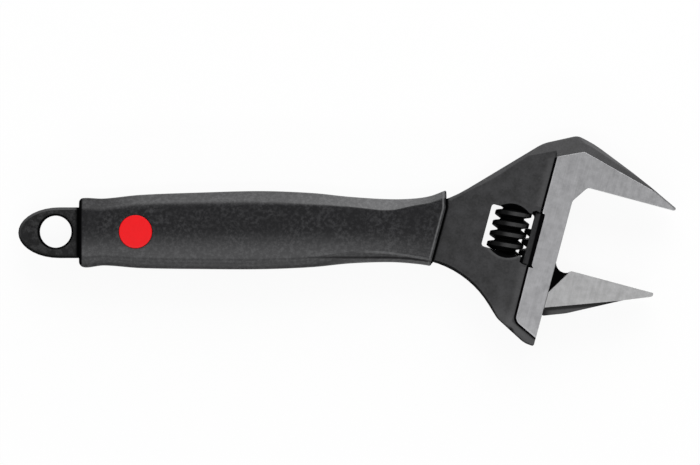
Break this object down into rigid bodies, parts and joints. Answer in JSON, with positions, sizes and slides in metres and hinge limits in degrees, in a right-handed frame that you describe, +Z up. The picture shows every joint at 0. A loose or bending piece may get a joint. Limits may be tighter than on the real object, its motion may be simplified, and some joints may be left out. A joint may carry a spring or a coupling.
{
  "type": "adjustable wrench",
  "caption": "Adjustable wrench with a movable jaw on a worm-driven rack, slim tapered jaws set at an angle, a moulded grip and a hanging hole in the tail.",
  "frame": {"origin": "middle of the hanging hole, half way through the thickness", "axes": "+X from the hanging hole to the head, +Y towards the fixed jaw, +Z up through the thickness"},
  "size_m": [0.2563, 0.0816, 0.018],
  "materials": {
    "forged_body": "satin black coating, with the jaw flat and the slide strip ground bright",
    "jaw_steel": "ground bright face, dark rod and web",
    "worm_steel": "black oxide with a fine knurl",
    "pin_steel": "dark turned steel",
    "spring_steel": "plain wire",
    "grip": "fine mottled grain",
    "inlay": "plain red disc"
  },
  "bodies": {
    "handle": {"body": "forged_body", "grip": "grip", "grip_inlay": "inlay", "worm_pin": "pin_steel", "worm_spring": "spring_steel"},
    "jaw": {"movable_jaw": "jaw_steel"},
    "worm": {"worm": "worm_steel"}
  },
  "joints": [
    {"name": "jaw_slide", "type": "slide", "parent": "handle", "child": "jaw", "axis": [0.2588, 0.9659, 0], "range_m": [-0.0049, 0.0329]},
    {"name": "worm_spin", "type": "hinge", "parent": "handle", "child": "worm", "pos_m": [0.17695, 0.00041, 0], "axis": [0.2588, 0.9659, 0], "range_deg": [-2850, 450]}
  ],
  "couplings": [
    {"joint": "worm_spin", "follows": "jaw_slide", "rad_per_m": -1496}
  ]
}
